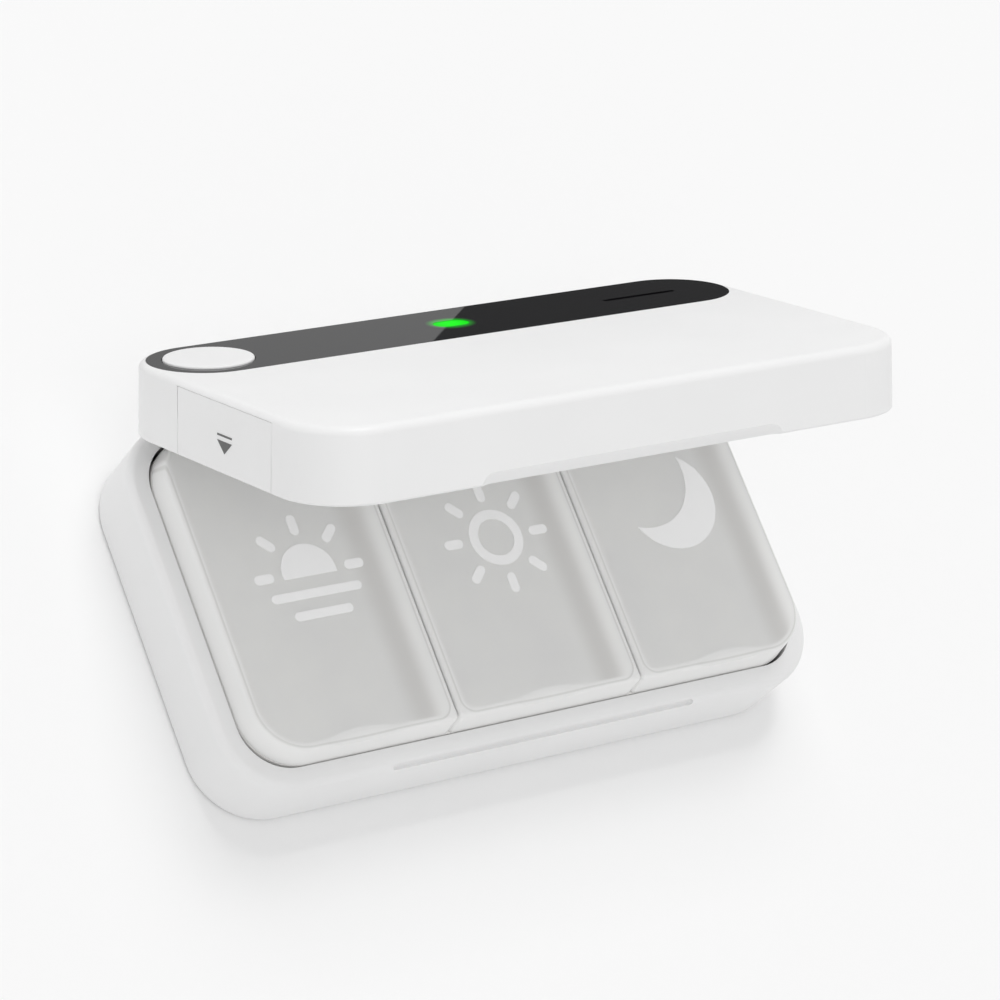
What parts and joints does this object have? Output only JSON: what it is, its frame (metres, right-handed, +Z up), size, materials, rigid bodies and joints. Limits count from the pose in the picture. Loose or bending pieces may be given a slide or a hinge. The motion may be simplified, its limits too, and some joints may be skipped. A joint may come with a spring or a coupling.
{
  "type": "pill dispenser box",
  "caption": "Pocket pill box with flap-covered compartments under a hinged lid that holds a reminder module with a round button, status light and speaker slot.",
  "frame": {"origin": "centre of the base's flat underside", "axes": "+X to the right along the box's length, +Y to the rear where the hinge is, +Z up from the underside; the lid is stored open as in the picture"},
  "size_m": [0.1138, 0.0732, 0.0705],
  "materials": {
    "shell": "fine satin",
    "tray": "frosted, translucent",
    "flap": "frosted, translucent",
    "mark_light": "printed",
    "mark_dark": "printed",
    "strip": "high gloss",
    "lens": "clear, lit green",
    "steel": "satin",
    "contact": "plated",
    "board": "solder mask",
    "chip": "moulded",
    "part": "ceramic",
    "speaker": "moulded",
    "foam": "matt foam"
  },
  "bodies": {
    "base": {"base_shell": "shell", "pill_tray": "tray", "hinge_pin": "steel", "flap_rod": "steel"},
    "lid": {"lid_cover": "shell", "inner_plate": "shell", "strip_window": "strip", "led_lens": "lens", "circuit_board": "board", "status_led": "part", "control_chip": "chip", "board_parts": "part", "tact_switch": "steel", "speaker": "speaker", "speaker_ring": "foam", "battery_holder": "chip", "coin_cell": "steel", "contact_plus": "contact", "contact_minus": "contact", "plate_screws": "steel"},
    "morning_flap": {"flap_morning": "flap", "sunrise_mark": "mark_light"},
    "noon_flap": {"flap_noon": "flap", "sun_mark": "mark_light"},
    "night_flap": {"flap_night": "flap", "moon_mark": "mark_light"},
    "button": {"button_cap": "shell"},
    "cover": {"battery_cover": "shell", "slide_mark": "mark_dark"}
  },
  "joints": [
    {"name": "lid_hinge", "type": "hinge", "parent": "base", "child": "lid", "pos_m": [0, 0.0323, 0.0138], "axis": [-1, 0, 0], "range_deg": [-51.6, 68.4]},
    {"name": "morning_flap_hinge", "type": "hinge", "parent": "base", "child": "morning_flap", "pos_m": [-0.03553, 0.0269, 0.01545], "axis": [-1, 0, 0], "range_deg": [0, 50]},
    {"name": "noon_flap_hinge", "type": "hinge", "parent": "base", "child": "noon_flap", "pos_m": [0, 0.0269, 0.01545], "axis": [-1, 0, 0], "range_deg": [0, 50]},
    {"name": "night_flap_hinge", "type": "hinge", "parent": "base", "child": "night_flap", "pos_m": [0.03553, 0.0269, 0.01545], "axis": [-1, 0, 0], "range_deg": [0, 50]},
    {"name": "button_press", "type": "slide", "parent": "lid", "child": "button", "axis": [0, -0.7837, -0.6211], "range_m": [0, 0.00035], "stiffness_N_per_m": 1500, "springref_m": -0.0001},
    {"name": "cover_slide", "type": "slide", "parent": "lid", "child": "cover", "axis": [0, -0.7837, -0.6211], "range_m": [0, 0.009]}
  ]
}
